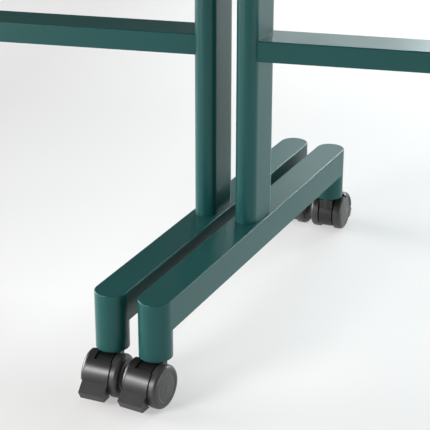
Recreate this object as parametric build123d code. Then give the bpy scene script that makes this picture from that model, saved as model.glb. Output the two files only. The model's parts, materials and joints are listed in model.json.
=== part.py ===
from build123d import *
import math
import os

# Ping pong table in two identical halves. Each half stands on two T-legs that are joined by a
# crossbar and roll on twin-wheel braked casters, and its top flips up about a hinge under one side.
# Millimetres, +Z up, X along the table, origin on the floor at the middle of the net.
# Half a lies at +X and half b is half a turned 180 degrees about Z.

os.makedirs("parts", exist_ok=True)

# Table top
TABLE_LENGTH = 2740.0
TABLE_WIDTH = 1525.0
TABLE_HEIGHT = 760.0
TOP_THICKNESS = 19.0
TOP_CORNER_RADIUS = 12.0
TOP_GAP = 3.0                 # between the two halves, where the net hangs

# Base: the feet are turned in plan from the table's width, so that halves can nest
FOOT_TURN = 13.28             # degrees
FOOT_WIDTH = 44.0
FOOT_GAP = 18.3               # between the two inner feet
FOOT_LENGTH = 636.0
FOOT_TOP = 140.5
FOOT_HEIGHT = 41.6
DROP_BOTTOM = 61.0            # underside of the round drops that hold the casters
POST_DEPTH = 76.0             # flat-oval post, along the foot
POST_WIDTH = 31.0
CROSSBAR_WIDTH = 58.0
CROSSBAR_HEIGHT = 29.0
CROSSBAR_Z = 388.4
OUTER_LEG_X = 1265.0
TUBE_WALL = 2.5
EDGE_ROUND = 1.8

# Frame under the top
RAIL_WIDTH = 25.0
RAIL_HEIGHT = 50.0
RAIL_INSET = 18.0             # from the edge of the top
RAIL_WALL = 1.5
CROSS_RAIL_X = (440.0, 850.0, OUTER_LEG_X)

# Support arms and the flip hinge
ARM_WIDTH = 40.0
ARM_HEIGHT = 30.0
ARM_BOTTOM = 656.0
ARM_LATCH_END = -255.0
ARM_HINGE_END = 222.0
HINGE_Y = 245.0
HINGE_Z = ARM_BOTTOM + ARM_HEIGHT / 2
HINGE_PIN_RADIUS = 6.0
HINGE_EAR_RADIUS = 13.0
LUG_WIDTH = 16.0
CHEEK = 5.0                   # thickness of a hinge bracket's plate
BUMPER_SIZE = 24.0
RUNNING = 0.05                # radial clearance of a pin or stem in its hole

# Latch rod under the top, drawn locked and turned to its released rest position
LATCH_Y = -285.0
LATCH_Z = 676.0
LATCH_RADIUS = 6.0
LATCH_TURN = 35.0             # degrees between released and locked
HOOK_WIDTH = 8.0
HOOK_BOTTOM = 645.0
HOOK_TIP_Y = -240.0
LEVER_X = 645.0
LEVER_LENGTH = 200.0
LEVER_DROOP = 30.0            # degrees below level when locked
GRIP_LENGTH = 110.0
GRIP_RADIUS = 11.0

# Net and what carries it
NET_LENGTH = 1830.0
NET_HEIGHT = 152.5
NET_THICKNESS = 1.0
NET_POST_RADIUS = 6.0
CARRIER_THICKNESS = 7.0
CARRIER_OFFSET = 2.0          # from the net plane to the carrier bar
CARRIER_RISE_Y = 772.0

# Casters
WHEEL_RADIUS = 29.0
WHEEL_WIDTH = 13.0
WHEEL_GAP = 2.2               # between a wheel and the hood
WHEEL_SHOULDER = 6.0
HOOD_WIDTH = 21.0
HOOD_SHIFT = -1.4             # middle of the hood from the stem, away from the braked wheel
HOOD_RADIUS = 28.3
TRAIL = 17.6
AXLE_RADIUS = 3.0
STEM_RADIUS = 5.0
STEM_TOP = 92.0
COLLAR_RADIUS = 11.0
SHELL_INNER = 29.6            # brake shell about the wheel's axle
SHELL_OUTER = 31.0
SHELL_SIDE = 26.8             # outer side of the shell, from the middle of the hood
SHELL_SKIRT = 25.0            # radius down to which its rounded edge reaches
SHELL_TOP_ANGLE = 95.0
SHELL_LIP_ANGLE = 57.5        # top of the part that crosses the hood
SHELL_START = -13.6           # side of the shell beyond the hood
SHELL_CORNER = 3.5
TOE_EDGE = (60.0, 17.5)       # outermost edge of the toe, as trail and height
TOE_BOTTOM = (54.0, 6.8)
TOE_BACK = (37.0, 6.8)
TOE_SIDE = 22.3               # its side under the braked wheel, from the middle of the hood
TOE_NARROWING = 3.0           # of its other side, from the fold to the floor
CASTER_TURNS = {"front": -3.7, "rear": 2.9}    # degrees that each caster rests turned on its stem

HALF_GAP = TOP_GAP / 2
HALF_LENGTH = TABLE_LENGTH / 2
HALF_WIDTH = TABLE_WIDTH / 2
TOP_BOTTOM = TABLE_HEIGHT - TOP_THICKNESS
RAIL_BOTTOM = TOP_BOTTOM - RAIL_HEIGHT
TURN = math.radians(FOOT_TURN)
ALONG = (math.sin(TURN), math.cos(TURN))       # direction of a foot in plan
ACROSS = (math.cos(TURN), -math.sin(TURN))
POST_OFFSET = (FOOT_GAP + FOOT_WIDTH) / 2
INNER_POST = (POST_OFFSET * ACROSS[0], POST_OFFSET * ACROSS[1])
OUTER_POST = (OUTER_LEG_X, INNER_POST[1])
DROP_OFFSET = (FOOT_LENGTH - FOOT_WIDTH) / 2   # from the post to a caster's stem


def block(x0, x1, y0, y1, z0, z1):
    """Box from its lowest and highest corners."""
    place = Pos((x0 + x1) / 2, (y0 + y1) / 2, (z0 + z1) / 2)
    return place * Box(x1 - x0, y1 - y0, z1 - z0)


def rod_x(radius, x0, x1, y, z):
    """Round rod along X."""
    return Pos((x0 + x1) / 2, y, z) * Rot(0, 90, 0) * Cylinder(radius, x1 - x0)


def plate_x(outline, x0, x1):
    """Outline drawn as (y, z), made into a plate from x0 to x1."""
    return extrude(Plane.YZ.offset(x0) * outline, x1 - x0)


def group(*solids):
    """Several separate solids kept in one node."""
    return Compound(children=[s for shape in solids for s in shape.solids()])


def foot_place(post):
    """Frame of a foot: local Y along the foot, origin on the floor under its post."""
    return Pos(post[0], post[1], 0) * Rot(0, 0, -FOOT_TURN)


# ---------------------------------------------------------------- base

def foot(post):
    """Hollow beam with round ends, and a round drop under each end."""
    half, inside = FOOT_WIDTH / 2, FOOT_WIDTH / 2 - TUBE_WALL
    bottom = FOOT_TOP - FOOT_HEIGHT
    beam = Pos(0, 0, bottom) * extrude(SlotOverall(FOOT_LENGTH, FOOT_WIDTH, rotation=90), FOOT_HEIGHT)
    beam = fillet(beam.edges().group_by(Axis.Z)[-1], EDGE_ROUND)
    beam -= block(-inside, inside, -DROP_OFFSET, DROP_OFFSET, bottom + TUBE_WALL, FOOT_TOP - TUBE_WALL)
    drop = Pos(0, 0, (bottom + DROP_BOTTOM) / 2) * Cylinder(half, bottom - DROP_BOTTOM)
    bore = Pos(0, 0, (DROP_BOTTOM + STEM_TOP) / 2) * Cylinder(STEM_RADIUS + RUNNING, STEM_TOP - DROP_BOTTOM)
    drops = []
    for side in (-1, 1):
        beam -= Pos(0, side * DROP_OFFSET, bottom) * Cylinder(half / 2, 4 * TUBE_WALL)
        drops.append(Pos(0, side * DROP_OFFSET, 0) * (drop - bore))
    place = foot_place(post)
    return group(place * beam, *[place * piece for piece in drops])


def post_solid(height, shrink=0.0):
    """Flat-oval column standing on z = 0, long side along Y."""
    outline = SlotOverall(POST_DEPTH - 2 * shrink, POST_WIDTH - 2 * shrink, rotation=90)
    return extrude(outline, height)


def post(at):
    height = ARM_BOTTOM - FOOT_TOP
    tube = post_solid(height) - post_solid(height, TUBE_WALL)
    return foot_place(at) * Pos(0, 0, FOOT_TOP) * tube


def crossbar():
    """Rectangular tube from post to post, its ends cut to the posts' sides."""
    y = INNER_POST[1]
    half_w, half_h = CROSSBAR_WIDTH / 2, CROSSBAR_HEIGHT / 2
    bar = block(INNER_POST[0], OUTER_POST[0], y - half_w, y + half_w, CROSSBAR_Z - half_h, CROSSBAR_Z + half_h)
    bar = fillet(bar.edges().filter_by(Axis.X), 1.5)
    in_w, in_h = half_w - TUBE_WALL, half_h - TUBE_WALL
    bar -= block(INNER_POST[0], OUTER_POST[0], y - in_w, y + in_w, CROSSBAR_Z - in_h, CROSSBAR_Z + in_h)
    for at in (INNER_POST, OUTER_POST):
        bar -= foot_place(at) * Pos(0, 0, CROSSBAR_Z - 50) * post_solid(100)
    return max(bar.solids(), key=lambda solid: solid.volume)


def caster_places():
    """Frame of each caster of half a: local Y is the trail, X points to the braked wheel."""
    places = {}
    for name, at in (("inner", INNER_POST), ("outer", OUTER_POST)):
        for end, side, turn in (("front", -1, 180), ("rear", 1, 0)):
            stem = foot_place(at) * Pos(0, side * DROP_OFFSET, 0)
            places[f"{name}_{end}"] = stem * Rot(0, 0, turn + CASTER_TURNS[end])
    return places


def caster_stems():
    length = STEM_TOP - 38.0
    stem = Pos(0, 0, 38.0 + length / 2) * Cylinder(STEM_RADIUS, length)
    return group(*[place * stem for place in caster_places().values()])


# ---------------------------------------------------------------- support arms and hinge

def arm_centres():
    return (INNER_POST[0], OUTER_LEG_X)


def ear(y, z, top, half_width, radius, hole):
    """Hanging ear: round at its pin, widening to a flat top."""
    outline = make_hull((Pos(y, z) * Circle(radius)).edges()
                        + (Pos(y, top - 2) * Rectangle(2 * half_width, 4)).edges())
    return outline - Pos(y, z) * Circle(hole)


def support_arms():
    """Square tubes on the post heads, each ending in a lug for the flip hinge."""
    top = ARM_BOTTOM + ARM_HEIGHT
    arms = []
    for x in arm_centres():
        half = ARM_WIDTH / 2
        tube = block(x - half, x + half, ARM_LATCH_END, ARM_HINGE_END, ARM_BOTTOM, top)
        tube = fillet(tube.edges().filter_by(Axis.Y), EDGE_ROUND)
        tube -= block(x - half + TUBE_WALL, x + half - TUBE_WALL, ARM_LATCH_END, ARM_HINGE_END - TUBE_WALL,
                      ARM_BOTTOM + TUBE_WALL, top - TUBE_WALL)
        lug = make_face(make_hull((Pos(HINGE_Y, HINGE_Z) * Circle(HINGE_EAR_RADIUS)).edges()
                                  + (Pos(ARM_HINGE_END, HINGE_Z) * Rectangle(2, 26)).edges()).edges())
        lug -= Pos(HINGE_Y, HINGE_Z) * Circle(HINGE_PIN_RADIUS + RUNNING)
        arms.append(tube + plate_x(lug, x - LUG_WIDTH / 2, x + LUG_WIDTH / 2))
    return group(*arms)


def arm_bumpers():
    """Rubber pads that the top rests on, and the plugs in the arms' open ends."""
    top = ARM_BOTTOM + ARM_HEIGHT
    pads = []
    for x in arm_centres():
        for y in (-215.0, 180.0):
            half = BUMPER_SIZE / 2
            pad = block(x - half, x + half, y - half, y + half, top, RAIL_BOTTOM - 0.3)
            pads.append(fillet(pad.edges().filter_by(Axis.Z), 4))
        half = ARM_WIDTH / 2
        plug = block(x - half, x + half, ARM_LATCH_END - 3, ARM_LATCH_END, ARM_BOTTOM, top)
        pads.append(fillet(plug.edges().filter_by(Axis.Y), EDGE_ROUND))
    return group(*pads)


def hinge_pins():
    """Headed pins, held by the arms' lugs."""
    reach = LUG_WIDTH / 2 + 1 + CHEEK + 0.5
    pins = []
    for x in arm_centres():
        pin = rod_x(HINGE_PIN_RADIUS, x - reach - 3, x + reach + 3, HINGE_Y, HINGE_Z)
        for side in (-1, 1):
            head = sorted((x + side * reach, x + side * (reach + 3)))
            pin += rod_x(9, head[0], head[1], HINGE_Y, HINGE_Z)
        pins.append(pin)
    return group(*pins)


def hinge_brackets():
    """Pairs of ears under the rails, one each side of an arm's lug."""
    outline = ear(HINGE_Y, HINGE_Z, RAIL_BOTTOM, 18, HINGE_EAR_RADIUS, HINGE_PIN_RADIUS + RUNNING)
    inner = LUG_WIDTH / 2 + 1
    cheeks = []
    for x in arm_centres():
        cheeks.append(plate_x(outline, x - inner - CHEEK, x - inner))
        cheeks.append(plate_x(outline, x + inner, x + inner + CHEEK))
    return group(*cheeks)


# ---------------------------------------------------------------- top

def table_top():
    panel = block(HALF_GAP, HALF_LENGTH, -HALF_WIDTH, HALF_WIDTH, TOP_BOTTOM, TABLE_HEIGHT)
    outer = panel.edges().filter_by(Axis.Z).group_by(Axis.X)[-1]
    panel = fillet(outer, TOP_CORNER_RADIUS)
    return chamfer(panel.faces().sort_by(Axis.Z)[-1].edges(), 0.8)


def rail_y(x, reach):
    """Open-ended tube under the top, along Y."""
    half, inside = RAIL_WIDTH / 2, RAIL_WIDTH / 2 - RAIL_WALL
    rail = block(x - half, x + half, -reach, reach, RAIL_BOTTOM, TOP_BOTTOM)
    return rail - block(x - inside, x + inside, -reach, reach, RAIL_BOTTOM + RAIL_WALL, TOP_BOTTOM - RAIL_WALL)


def edge_frame():
    """Rails under the top's four edges."""
    side = HALF_WIDTH - RAIL_INSET - RAIL_WIDTH / 2
    end_x = HALF_LENGTH - RAIL_INSET - RAIL_WIDTH / 2
    reach = side + RAIL_WIDTH / 2
    rails = [rail_y(INNER_POST[0], reach), rail_y(end_x, reach)]
    length = end_x - INNER_POST[0] - RAIL_WIDTH
    middle = (end_x + INNER_POST[0]) / 2
    for y in (-side, side):
        rails.append(Pos(middle, y, 0) * Rot(0, 0, 90) * rail_y(0, length / 2))
    return group(*rails)


def cross_rails():
    reach = HALF_WIDTH - RAIL_INSET - RAIL_WIDTH
    return group(*[rail_y(x, reach) for x in CROSS_RAIL_X])


# ---------------------------------------------------------------- latch

def released(shape):
    """Turn from the locked drawing to the released rest position."""
    axis = Axis((0, LATCH_Y, LATCH_Z), (1, 0, 0))
    return shape.rotate(axis, -LATCH_TURN)


def lever_place(distance):
    """Point along the lever, with X turned to run along it."""
    droop = math.radians(LEVER_DROOP)
    y = LATCH_Y - distance * math.cos(droop)
    z = LATCH_Z - distance * math.sin(droop)
    return Pos(LEVER_X, y, z) * Rot(90 + LEVER_DROOP, 0, 0)


def latch_rod():
    """Turning rod with a hook at each arm and a lever."""
    rod = rod_x(LATCH_RADIUS, 13, OUTER_LEG_X + 25, LATCH_Y, LATCH_Z)
    pieces = [rod, lever_place(LEVER_LENGTH / 2) * Cylinder(5, LEVER_LENGTH) - rod]
    for x in arm_centres():
        low, high = x - HOOK_WIDTH / 2, x + HOOK_WIDTH / 2
        upright = block(low, high, LATCH_Y - 9, LATCH_Y + 9, HOOK_BOTTOM, LATCH_Z + 9)
        pieces.append(fillet(upright.edges().filter_by(Axis.X).group_by(Axis.Z)[-1], 8) - rod)
        pieces.append(block(low, high, LATCH_Y + 9, HOOK_TIP_Y, HOOK_BOTTOM, HOOK_BOTTOM + 8))
    return group(*[released(piece) for piece in pieces])


def latch_grip():
    """Soft sleeve on the lever's end."""
    sleeve = lever_place(LEVER_LENGTH - GRIP_LENGTH / 2 + 4) * Cylinder(GRIP_RADIUS, GRIP_LENGTH)
    sleeve = fillet(sleeve.edges(), 4)
    sleeve -= lever_place(LEVER_LENGTH / 2) * Cylinder(5, LEVER_LENGTH)
    return released(sleeve)


def latch_brackets():
    """Plates under the rails that carry the latch rod."""
    outline = ear(LATCH_Y, LATCH_Z, RAIL_BOTTOM, 15, 10, LATCH_RADIUS + RUNNING)
    starts = (INNER_POST[0] + 6.5, CROSS_RAIL_X[0] - 3, CROSS_RAIL_X[1] - 3, OUTER_LEG_X - 12)
    return group(*[plate_x(outline, x, x + 6) for x in starts])


# ---------------------------------------------------------------- net

def net_carrier():
    """Flat bars under the top that pass each half on the side which flips up, then rise to the posts."""
    near, far = CARRIER_OFFSET, CARRIER_OFFSET + CARRIER_THICKNESS
    top, tray_bottom = ARM_BOTTOM + ARM_HEIGHT, TABLE_HEIGHT - 30
    end, rise = NET_LENGTH / 2 + 2 * NET_POST_RADIUS + 6, CARRIER_RISE_Y + 18
    bore = Pos(0, -NET_LENGTH / 2 - NET_POST_RADIUS, TABLE_HEIGHT - 13) * Cylinder(NET_POST_RADIUS + RUNNING, 26)
    side = [
        block(near, far, -rise, -60, ARM_BOTTOM, top),
        block(near, far, -rise, -CARRIER_RISE_Y, top, tray_bottom),
        block(near, far, -end, -CARRIER_RISE_Y, tray_bottom, TABLE_HEIGHT) - bore,
        block(-10, near, -end, -NET_LENGTH / 2 + 4, tray_bottom, TABLE_HEIGHT) - bore,
    ]
    middle = block(-far, far, -60, 60, ARM_BOTTOM, top)
    spacer = block(far, INNER_POST[0] - ARM_WIDTH / 2, -40, 40, ARM_BOTTOM, top)
    return group(*side, *[Rot(0, 0, 180) * piece for piece in side], middle, spacer)


def net_posts():
    bottom, top = TABLE_HEIGHT - 26, TABLE_HEIGHT + NET_HEIGHT + 4
    y = NET_LENGTH / 2 + NET_POST_RADIUS
    return group(*[Pos(0, s * y, (bottom + top) / 2) * Cylinder(NET_POST_RADIUS, top - bottom) for s in (-1, 1)])


def net_caps():
    y = NET_LENGTH / 2 + NET_POST_RADIUS
    cap = Pos(0, 0, TABLE_HEIGHT + NET_HEIGHT + 9) * Cylinder(NET_POST_RADIUS + 2, 10)
    cap = fillet(cap.edges().group_by(Axis.Z)[-1], 3)
    return group(*[Pos(0, s * y, 0) * cap for s in (-1, 1)])


def net():
    half = NET_THICKNESS / 2
    reach = NET_LENGTH / 2 - 0.1
    return block(-half, half, -reach, reach, TABLE_HEIGHT + 1, TABLE_HEIGHT + NET_HEIGHT)


# ---------------------------------------------------------------- casters, in the caster's own frame

def caster_hood():
    """Flat round hood between the wheels, with the boss that turns on the stem."""
    low, high = HOOD_SHIFT - HOOD_WIDTH / 2, HOOD_SHIFT + HOOD_WIDTH / 2
    body = rod_x(HOOD_RADIUS, low, high, TRAIL, WHEEL_RADIUS) & block(low, high, -30, 60, 9, 70)
    body += block(low, high, -8, TRAIL, 34, 54) + Pos(0, 0, (34 + 59) / 2) * Cylinder(COLLAR_RADIUS - 2, 25)
    body += Pos(0, 0, (59 + 60.4) / 2) * Cylinder(COLLAR_RADIUS, 1.4)
    body -= Pos(0, 0, 38 + 20) * Cylinder(STEM_RADIUS + RUNNING, 40)
    return body - rod_x(AXLE_RADIUS + RUNNING, -30, 30, TRAIL, WHEEL_RADIUS)


def caster_wheels():
    """Two wheels and their axle."""
    start = HOOD_WIDTH / 2 + WHEEL_GAP
    wheel = rod_x(WHEEL_RADIUS, start, start + WHEEL_WIDTH, TRAIL, WHEEL_RADIUS)
    wheel = fillet(wheel.edges().sort_by(Axis.X)[-1], WHEEL_SHOULDER)
    wheel -= rod_x(22, start + WHEEL_WIDTH - 0.8, start + WHEEL_WIDTH, TRAIL, WHEEL_RADIUS)
    axle = rod_x(AXLE_RADIUS, -start, start, TRAIL, WHEEL_RADIUS)
    return Pos(HOOD_SHIFT, 0, 0) * group(wheel, wheel.mirror(Plane.YZ), axle)


def sector(inner, outer, low, high):
    """Part of a ring about the wheel's axle, as a (y, z) outline."""
    reach = 2 * outer
    middle = (low + high) / 2
    corners = [(0, 0)]
    for angle in (low, middle, high):
        turn = math.radians(angle)
        corners.append((reach * math.cos(turn), reach * math.sin(turn)))
    wedge = make_face(Polyline(*corners, close=True))
    return Pos(TRAIL, WHEEL_RADIUS) * ((Circle(outer) - Circle(inner)) & wedge)


def rounded_drum(radius, start, end, shoulder):
    """Disc about the wheel's axle, its outer rim rounded."""
    drum = rod_x(radius, start, end, TRAIL, WHEEL_RADIUS)
    return fillet(drum.edges().sort_by(Axis.X)[-1], shoulder)


def brake_pedal():
    """Shell over one wheel and the hood's lower front, ending in a thick toe."""
    over_wheel = HOOD_WIDTH / 2 + WHEEL_GAP - 0.8
    shell = rounded_drum(SHELL_OUTER, over_wheel, SHELL_SIDE, WHEEL_SHOULDER + 1.6)
    shell -= rounded_drum(SHELL_INNER, over_wheel, SHELL_SIDE - 0.8, WHEEL_SHOULDER + 0.6)
    shell &= plate_x(sector(SHELL_SKIRT, SHELL_OUTER + 1, 0, SHELL_TOP_ANGLE), over_wheel, SHELL_SIDE)
    lip = plate_x(sector(SHELL_INNER, SHELL_OUTER, 0, SHELL_LIP_ANGLE), SHELL_START, over_wheel)
    corner = lip.faces().sort_by(Axis.X)[0].edges().sort_by(Axis.Z)[-1]
    shell += fillet(corner, SHELL_CORNER)
    fold = (TRAIL + SHELL_OUTER, WHEEL_RADIUS)
    toe = make_face(Polyline(fold, TOE_EDGE, TOE_BOTTOM, TOE_BACK, (TRAIL, WHEEL_RADIUS), close=True))
    toe -= Pos(TRAIL, WHEEL_RADIUS) * Circle(SHELL_INNER)
    low = SHELL_START + TOE_NARROWING
    front = make_face(Polyline((SHELL_START, WHEEL_RADIUS + 1), (TOE_SIDE, WHEEL_RADIUS + 1), (TOE_SIDE, 0), (low, 0),
                               (SHELL_START, WHEEL_RADIUS), close=True))
    toe = plate_x(toe, SHELL_START, TOE_SIDE) & extrude(Plane.XZ.offset(-80) * front, 100)
    return Pos(HOOD_SHIFT, 0, 0) * (shell + toe)


# ---------------------------------------------------------------- write the nodes

def write(name, shape):
    export_step(shape, f"parts/{name}.step")


half_parts = {
    "inner_foot": foot(INNER_POST),
    "outer_foot": foot(OUTER_POST),
    "inner_post": post(INNER_POST),
    "outer_post": post(OUTER_POST),
    "crossbar": crossbar(),
    "caster_stems": caster_stems(),
    "support_arms": support_arms(),
    "arm_bumpers": arm_bumpers(),
    "hinge_pins": hinge_pins(),
    "hinge_brackets": hinge_brackets(),
    "table_top": table_top(),
    "edge_frame": edge_frame(),
    "cross_rails": cross_rails(),
    "latch_rod": latch_rod(),
    "latch_grip": latch_grip(),
    "latch_brackets": latch_brackets(),
}
caster_parts = {"hood": caster_hood(), "wheels": caster_wheels(), "brake": brake_pedal()}
for spot, place in caster_places().items():
    for piece, shape in caster_parts.items():
        half_parts[f"{spot}_caster_{piece}"] = place * shape

for name, shape in half_parts.items():
    write(f"{name}_a", shape)
    write(f"{name}_b", Rot(0, 0, 180) * shape)

for name, shape in {"net_carrier": net_carrier(), "net_posts": net_posts(),
                    "net_caps": net_caps(), "net": net()}.items():
    write(name, shape)
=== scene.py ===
import bpy
import json
import math
from mathutils import Matrix, Vector

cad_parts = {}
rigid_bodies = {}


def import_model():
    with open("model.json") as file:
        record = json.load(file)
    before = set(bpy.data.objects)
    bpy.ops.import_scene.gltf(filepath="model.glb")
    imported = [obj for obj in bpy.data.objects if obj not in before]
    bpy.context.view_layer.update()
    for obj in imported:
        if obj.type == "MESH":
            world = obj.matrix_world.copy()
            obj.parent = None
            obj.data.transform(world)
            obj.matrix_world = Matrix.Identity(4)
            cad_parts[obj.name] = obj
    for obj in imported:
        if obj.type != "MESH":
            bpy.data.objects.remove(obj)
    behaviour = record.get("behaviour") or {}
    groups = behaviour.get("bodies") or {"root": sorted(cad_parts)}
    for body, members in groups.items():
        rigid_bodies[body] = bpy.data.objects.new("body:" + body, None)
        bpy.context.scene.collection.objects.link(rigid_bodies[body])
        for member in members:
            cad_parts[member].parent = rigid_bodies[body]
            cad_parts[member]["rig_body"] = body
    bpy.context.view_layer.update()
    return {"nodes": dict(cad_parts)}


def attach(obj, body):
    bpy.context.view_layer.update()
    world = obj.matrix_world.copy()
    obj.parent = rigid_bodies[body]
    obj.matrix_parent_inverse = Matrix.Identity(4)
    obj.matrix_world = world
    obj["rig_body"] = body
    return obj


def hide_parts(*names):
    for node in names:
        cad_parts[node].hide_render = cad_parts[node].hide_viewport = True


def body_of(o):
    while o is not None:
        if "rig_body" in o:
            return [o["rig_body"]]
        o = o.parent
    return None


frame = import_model()
nodes = frame["nodes"]
scene = bpy.context.scene
scene.view_settings.view_transform = "Standard"
HALVES = ("a", "b")

# ---------------------------------------------------------------- camera

CAMERA_AT = Vector((0.3869, -1.8775, 0.9544))
CAMERA_HEADING = math.radians(12.41)      # left of the +Y direction
CAMERA_PITCH = math.radians(23.18)        # below level
CAMERA_ROLL = math.radians(0.09)
CAMERA_LENS, CAMERA_SENSOR = 122.5, 36    # mm
CAMERA_NEAREST = 0.05


def add_camera():
    data = bpy.data.cameras.new("camera")
    data.lens = CAMERA_LENS
    data.sensor_width = CAMERA_SENSOR
    data.clip_start = CAMERA_NEAREST
    camera = bpy.data.objects.new("camera", data)
    look = Matrix.Rotation(CAMERA_HEADING, 4, "Z")
    look = look @ Matrix.Rotation(math.pi / 2 - CAMERA_PITCH, 4, "X")
    look = look @ Matrix.Rotation(CAMERA_ROLL, 4, "Z")
    camera.matrix_world = Matrix.Translation(CAMERA_AT) @ look
    scene.collection.objects.link(camera)
    scene.camera = camera


# ---------------------------------------------------------------- sizes from the CAD, in metres

TOP_REACH, TOP_SIDE, TOP_HEIGHT = 1.370, 0.7625, 0.760
EDGE_LINE, CENTRE_LINE = 0.020, 0.003
LINE_DEPTH = 0.0009                       # how far down the top's edge the white goes
NET_LENGTH, NET_HEIGHT, NET_TAPE = 1.830, 0.1525, 0.015
NET_CELL, NET_THREAD = 0.0125, 0.0012
NET_END_GAP, NET_FOOT_GAP = 0.0001, 0.001 # clear of the posts and of the top
NET_SLACK, TAPE_HALF = 0.0004, 0.0008
TAPE_SHOULDER, TAPE_PEAK = 0.0002, 0.0007 # the tape's fold above the cloth's top edge
FOOT_TURN = math.radians(13.28)
POST_OFFSET = 0.03115                     # from the origin to an inner post, across the feet
OUTER_LEG_X = 1.265
DROP_OFFSET = 0.296                       # from a post to a caster's stem
TRAIL, WHEEL_RADIUS = 0.0176, 0.029
CASTER_TURNS = {"front": math.radians(-3.7), "rear": math.radians(2.9)}
HOOD_SHIFT, WHEEL_FACE = -0.0014, 0.0249  # the recessed wheel face from the middle of the hood
PAINT_COLOUR = (0.0085, 0.068, 0.0640)
TOP_COLOUR, LINE_COLOUR = (0.018, 0.075, 0.072, 1), (0.80, 0.80, 0.78, 1)
EASED_EDGE, EASED_ANGLE = 0.0004, math.radians(40)


# ---------------------------------------------------------------- node-material helpers

def new_material(name):
    material = bpy.data.materials.new(name)
    material.use_nodes = True
    return material, material.node_tree, material.node_tree.nodes["Principled BSDF"]


def add(tree, kind, **inputs):
    """New shader node with some of its sockets set."""
    node = tree.nodes.new(kind)
    for key, value in inputs.items():
        node.inputs[key.replace("_", " ")].default_value = value
    return node


def object_coords(tree):
    return tree.nodes.new("ShaderNodeTexCoord").outputs["Object"]


def noise(tree, scale, detail=3.0):
    node = add(tree, "ShaderNodeTexNoise", Scale=scale, Detail=detail)
    tree.links.new(object_coords(tree), node.inputs["Vector"])
    return node.outputs["Fac"]


def spread(tree, value, low, high, given=(0.0, 1.0)):
    """Map a value from the given range to low to high."""
    node = tree.nodes.new("ShaderNodeMapRange")
    node.inputs["From Min"].default_value, node.inputs["From Max"].default_value = given
    node.inputs["To Min"].default_value = low
    node.inputs["To Max"].default_value = high
    tree.links.new(value, node.inputs["Value"])
    return node.outputs["Result"]


def bump(tree, shader, height, distance, strength=1.0):
    node = add(tree, "ShaderNodeBump", Distance=distance, Strength=strength)
    tree.links.new(height, node.inputs["Height"])
    tree.links.new(node.outputs["Normal"], shader.inputs["Normal"])


def tint(tree, shader, colour, amount, scale):
    """Base colour with a slow variation in brightness."""
    mix = tree.nodes.new("ShaderNodeMix")
    mix.data_type = "RGBA"
    dark = [c * (1 - amount) for c in colour]
    light = [c * (1 + amount) for c in colour]
    mix.inputs["A"].default_value = (*dark, 1)
    mix.inputs["B"].default_value = (*light, 1)
    tree.links.new(noise(tree, scale), mix.inputs["Factor"])
    tree.links.new(mix.outputs["Result"], shader.inputs["Base Color"])


def simple(name, colour, roughness, grain, depth, metallic=0.0, amount=0.06):
    """Moulded or plated finish: slight colour change, uneven gloss and a fine grain."""
    material, tree, shader = new_material(name)
    shader.inputs["Metallic"].default_value = metallic
    tint(tree, shader, colour, amount, 9.0)
    tree.links.new(spread(tree, noise(tree, 40.0), roughness - 0.05, roughness + 0.05),
                   shader.inputs["Roughness"])
    bump(tree, shader, noise(tree, grain, 6.0), depth)
    return material


def frame_paint():
    """Satin lacquer on steel, with a fine orange peel."""
    material, tree, shader = new_material("frame_paint")
    tint(tree, shader, PAINT_COLOUR, 0.05, 5.0)
    tree.links.new(spread(tree, noise(tree, 12.0), 0.27, 0.32), shader.inputs["Roughness"])
    shader.inputs["Specular IOR Level"].default_value = 0.25
    bump(tree, shader, noise(tree, 900.0, 2.0), 0.00002, 0.3)
    return material


def compare(tree, operation, value, limit):
    """Maths between a value and a fixed number. Single-input kinds ignore the number."""
    node = tree.nodes.new("ShaderNodeMath")
    node.operation = operation
    node.inputs[1].default_value = limit
    tree.links.new(value, node.inputs[0])
    return node.outputs["Value"]


def combine(tree, operation, first, second):
    """Maths between two values."""
    node = tree.nodes.new("ShaderNodeMath")
    node.operation = operation
    tree.links.new(first, node.inputs[0])
    tree.links.new(second, node.inputs[1])
    return node.outputs["Value"]


def top_surface():
    """Matte playing lacquer with white edge and centre lines on its upper face."""
    material, tree, shader = new_material("top_surface")
    split = tree.nodes.new("ShaderNodeSeparateXYZ")
    tree.links.new(object_coords(tree), split.inputs["Vector"])
    along = compare(tree, "ABSOLUTE", split.outputs["X"], 0)
    across = compare(tree, "ABSOLUTE", split.outputs["Y"], 0)
    ends = compare(tree, "GREATER_THAN", along, TOP_REACH - EDGE_LINE)
    sides = compare(tree, "GREATER_THAN", across, TOP_SIDE - EDGE_LINE)
    centre = compare(tree, "LESS_THAN", across, CENTRE_LINE / 2)
    upper = compare(tree, "GREATER_THAN", split.outputs["Z"], TOP_HEIGHT - LINE_DEPTH)
    lines = combine(tree, "MAXIMUM", combine(tree, "MAXIMUM", ends, sides), centre)
    lines = combine(tree, "MULTIPLY", lines, upper)
    mix = tree.nodes.new("ShaderNodeMix")
    mix.data_type = "RGBA"
    mix.inputs["A"].default_value = TOP_COLOUR
    mix.inputs["B"].default_value = LINE_COLOUR
    tree.links.new(lines, mix.inputs["Factor"])
    tree.links.new(mix.outputs["Result"], shader.inputs["Base Color"])
    tree.links.new(spread(tree, noise(tree, 30.0), 0.50, 0.60), shader.inputs["Roughness"])
    bump(tree, shader, noise(tree, 700.0, 2.0), 0.00003, 0.4)
    return material


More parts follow.
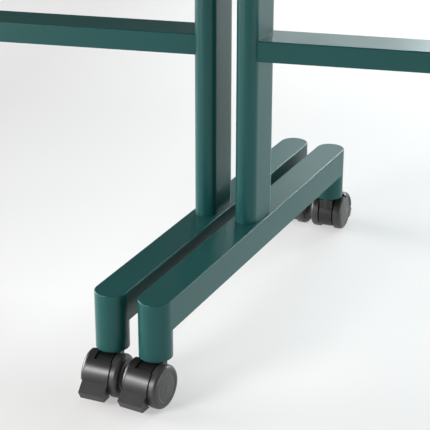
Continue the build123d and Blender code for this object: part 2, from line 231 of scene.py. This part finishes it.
def net_cloth_material():
    """Knotless mesh: threads along and up, open between them."""
    material, tree, shader = new_material("net_fabric")
    shader.inputs["Base Color"].default_value = (0.012, 0.02, 0.02, 1)
    shader.inputs["Roughness"].default_value = 0.8
    split = tree.nodes.new("ShaderNodeSeparateXYZ")
    tree.links.new(object_coords(tree), split.inputs["Vector"])
    threads = None
    for axis in ("Y", "Z"):
        place = compare(tree, "DIVIDE", split.outputs[axis], NET_CELL)
        place = compare(tree, "FRACT", place, 0)
        thread = compare(tree, "LESS_THAN", place, NET_THREAD / NET_CELL)
        threads = thread if threads is None else combine(tree, "MAXIMUM", threads, thread)
    tree.links.new(threads, shader.inputs["Alpha"])
    return material


def paint(names, material):
    for name in names:
        obj = nodes[name]
        obj.data.materials.clear()
        obj.data.materials.append(material)


def starts(*heads):
    return [name for name in nodes if name.startswith(heads)]


def holds(word):
    return [name for name in nodes if word in name]


# ---------------------------------------------------------------- stage

FLOOR_GLOW, FLOOR_REACH = 0.44, 30

def add_stage():
    """Even pale world, and a floor whose glow is painted light, standing in for lamp light under and
    around the table; it falls off to the left and towards the camera, where a painted shadow darkens
    the front-left corner.
    """
    world = bpy.data.worlds.new("world")
    scene.world = world
    world.use_nodes = True
    background = world.node_tree.nodes["Background"]
    background.inputs["Color"].default_value = (0.90, 0.90, 0.90, 1)
    background.inputs["Strength"].default_value = 0.08
    mesh = bpy.data.meshes.new("floor")
    corners = [(x * FLOOR_REACH, y * FLOOR_REACH, 0)
               for x, y in ((-1, -1), (1, -1), (1, 1), (-1, 1))]
    mesh.from_pydata(corners, [], [(0, 1, 2, 3)])
    floor = bpy.data.objects.new("floor", mesh)
    scene.collection.objects.link(floor)
    material, tree, shader = new_material("floor")
    shader.inputs["Base Color"].default_value = (0.46, 0.435, 0.43, 1)
    shader.inputs["Roughness"].default_value = 0.6
    shader.inputs["Specular IOR Level"].default_value = 0.2
    # the floor's glow is painted light: it brightens the floor under the tabletop, where the lamps
    # are blocked
    shader.inputs["Emission Color"].default_value = (1, 1, 1, 1)
    split = tree.nodes.new("ShaderNodeSeparateXYZ")
    tree.links.new(object_coords(tree), split.inputs["Vector"])
    # painted light: these gradients of the glow stand in for how the lamps light the floor
    leftward = spread(tree, split.outputs["X"], -0.16, 0.0, (-0.66, -0.22))
    frontward = spread(tree, split.outputs["Y"], FLOOR_GLOW + 0.12, FLOOR_GLOW - 0.02,
                       (-0.6, 0.8))
    # painted shadow: the glow is lowered at the floor's front-left corner, where the table shades it
    painted_shadow_front = spread(tree, split.outputs["Y"], 1.0, 0.0, (-0.34, -0.05))
    painted_shadow_corner = spread(tree, split.outputs["X"], -0.19, -0.065, (-0.16, 0.04))
    glow = combine(tree, "ADD", leftward, frontward)
    glow = combine(tree, "ADD", glow, combine(tree, "MULTIPLY", painted_shadow_front, painted_shadow_corner))
    tree.links.new(glow, shader.inputs["Emission Strength"])
    floor.data.materials.append(material)


def area_light(name, at, target, size, power, colour):
    data = bpy.data.lights.new(name, "AREA")
    data.shape = "RECTANGLE"
    data.size, data.size_y = size
    data.energy = power
    data.color = colour
    light = bpy.data.objects.new(name, data)
    direction = Vector(target) - Vector(at)
    turn = direction.to_track_quat("-Z", "Y").to_matrix().to_4x4()
    light.matrix_world = Matrix.Translation(at) @ turn
    light.visible_camera = False
    scene.collection.objects.link(light)


add_camera()
add_stage()
NEUTRAL, COOL = (1, 1, 1), (0.86, 1.0, 1.02)
LIGHTS = {
    # name: (place, target, size, watts, colour)
    "overhead": ((0.3, -0.2, 2.7), (0, 0, 0.76), (3.2, 2.2), 45, NEUTRAL),
    "under_top": ((0, 0, 0.64), (0, 0, 0), (2.4, 1.3), 2, NEUTRAL),
    "left_strip": ((-1.1, -1.3, 0.45), (0, 0, 0.25), (0.5, 0.8), 7.2, NEUTRAL),
    "left_wide": ((-3.2, 0.35, 0.6), (0, 0, 0.25), (2.5, 1.4), 208, NEUTRAL),
    "left_high": ((-1.17, -1.57, 0.92), (-0.03, -0.33, 0.05), (0.6, 0.5), 22, NEUTRAL),
    "right_wide": ((3.06, -0.54, 0.52), (0, 0, 0.25), (2.9, 1.26), 60, COOL),
    "back_high": ((0.75, 2.9, 1.25), (0.2, 0, 0.2), (1.3, 0.4), 24, COOL),
    "back_mid": ((0.1, 2.9, 1.3), (0.0, 0, 0.2), (1.3, 0.35), 8, COOL),
    "edge": ((1.35, 2.14, 1.07), (0.05, 0.1, 0.14), (0.30, 0.20), 18, COOL),
    "back_right": ((1.9, 1.5, 0.5), (0, 0, 0.15), (1.4, 0.9), 15, COOL),
}
for light_name, settings in LIGHTS.items():
    area_light(light_name, *settings)

# ---------------------------------------------------------------- pieces

def mesh_object(name, verts, faces, material, smooth=True):
    mesh = bpy.data.meshes.new(name)
    mesh.from_pydata(verts, [], faces)
    mesh.materials.append(material)
    for polygon in mesh.polygons:
        polygon.use_smooth = smooth
    obj = bpy.data.objects.new(name, mesh)
    scene.collection.objects.link(obj)
    return obj


def add_net(cloth, tape_material):
    """Knotless cloth between the posts with a white tape over its top edge."""
    body = body_of(nodes["net"])[0]
    steps, rows = 96, 8
    reach, low = NET_LENGTH / 2 - NET_END_GAP, TOP_HEIGHT + NET_FOOT_GAP
    high = TOP_HEIGHT + NET_HEIGHT

    def ripple(y, z):
        """Slack of the cloth off its plane, nothing at the posts or the tape."""
        free = math.sin(math.pi * (y + reach) / (2 * reach)) * (high - z) / (high - low)
        return NET_SLACK * free * math.sin(19 * y + 40 * z)

    verts, faces = [], []
    for j in range(rows + 1):
        z = low + (high - low) * j / rows
        for i in range(steps + 1):
            y = -reach + 2 * reach * i / steps
            verts.append((ripple(y, z), y, z))
    for j in range(rows):
        for i in range(steps):
            k = j * (steps + 1) + i
            faces.append((k, k + 1, k + steps + 2, k + steps + 1))
    net = mesh_object("net_cloth", verts, faces, cloth)
    tape_low, shoulder = high - NET_TAPE, high + TAPE_SHOULDER
    outline = [(-TAPE_HALF, tape_low), (-TAPE_HALF, shoulder), (0, high + TAPE_PEAK),
               (TAPE_HALF, shoulder), (TAPE_HALF, tape_low)]
    verts = [(x, y, z) for y in (-reach, reach) for x, z in outline]
    count = len(outline)
    faces = [(k, k + 1, k + count + 1, k + count) for k in range(count - 1)]
    tape = mesh_object("net_tape", verts, faces, tape_material, smooth=False)
    for piece in (net, tape):
        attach(piece, body)
    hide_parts("net")


def lathe(name, profile, material, segments=72):
    """Disc about local X from (radius, height) points."""
    verts, faces = [], []
    for radius, height in profile:
        for k in range(segments):
            turn = 2 * math.pi * k / segments
            verts.append((height, radius * math.cos(turn), radius * math.sin(turn)))
    for ring in range(len(profile) - 1):
        for k in range(segments):
            a, b = ring * segments + k, ring * segments + (k + 1) % segments
            faces.append((a, b, b + segments, a + segments))
    faces.append(tuple(reversed(range(segments))))
    return mesh_object(name, verts, faces, material)


FACE_PROFILE = (      # millimetres from the axle and out of the recess
    (0.6, 0.66), (3.2, 0.64), (3.8, 0.50), (9.0, 0.42), (17.2, 0.44), (17.5, 0.36),
    (17.9, 0.36), (18.2, 0.46), (19.8, 0.55), (20.4, 0.95), (21.3, 1.00), (21.9, 0.55),
    (21.95, -0.1))


def add_wheel_faces(material):
    """Turned disc in the recess of every wheel."""
    profile = [(radius / 1000, height / 1000) for radius, height in FACE_PROFILE]
    legs = {}
    legs["inner"] = (POST_OFFSET * math.cos(FOOT_TURN), -POST_OFFSET * math.sin(FOOT_TURN), 0)
    legs["outer"] = (OUTER_LEG_X, legs["inner"][1], 0)
    for half in HALVES:
        whole = Matrix.Rotation(math.pi if half == "b" else 0, 4, "Z")
        for leg, at in legs.items():
            for end, side in (("front", -1), ("rear", 1)):
                place = whole @ Matrix.Translation(at) @ Matrix.Rotation(-FOOT_TURN, 4, "Z")
                place = place @ Matrix.Translation((0, side * DROP_OFFSET, 0))
                turned = CASTER_TURNS[end] + (math.pi if side < 0 else 0)
                place = place @ Matrix.Rotation(turned, 4, "Z")
                for face, out in (("braked", 1), ("plain", -1)):
                    piece = lathe(f"{leg}_{end}_wheel_{face}_face_{half}", profile, material)
                    centre = Matrix.Translation((HOOD_SHIFT + out * WHEEL_FACE, TRAIL, WHEEL_RADIUS))
                    outward = Matrix.Rotation(0 if out > 0 else math.pi, 4, "Z")
                    piece.matrix_world = place @ centre @ outward
                    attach(piece, f"{leg}_{end}_caster_{half}_wheels")


def ease_edges(names, width):
    """Moulded parts have slightly rounded edges."""
    for name in names:
        modifier = nodes[name].modifiers.new("eased", "BEVEL")
        modifier.width = width
        modifier.segments = 2
        modifier.limit_method = "ANGLE"
        modifier.angle_limit = EASED_ANGLE
        modifier.harden_normals = True


paint(nodes, frame_paint())
paint(starts("table_top"), top_surface())
plastic = simple("caster_plastic", (0.0115, 0.0107, 0.0101), 0.33, 500.0, 0.00004)
wheel_plastic = simple("caster_wheel", (0.034, 0.0325, 0.031), 0.38, 500.0, 0.00004)
paint(holds("caster_hood") + holds("caster_brake"), plastic)
paint(holds("caster_wheels"), wheel_plastic)
paint(starts("caster_stems", "hinge_pins"),
      simple("plated_steel", (0.6, 0.6, 0.6), 0.3, 300.0, 0.00001, metallic=1.0))
paint(starts("arm_bumpers"), simple("rubber", (0.02, 0.02, 0.02), 0.6, 300.0, 0.00003))
paint(starts("latch_grip", "net_caps"),
      simple("grip_plastic", (0.03, 0.03, 0.03), 0.5, 400.0, 0.00005))
add_net(net_cloth_material(), simple("net_tape", (0.75, 0.75, 0.73), 0.8, 600.0, 0.0001))
add_wheel_faces(wheel_plastic)
ease_edges(holds("caster_hood") + holds("caster_brake") + holds("caster_wheels"), EASED_EDGE)
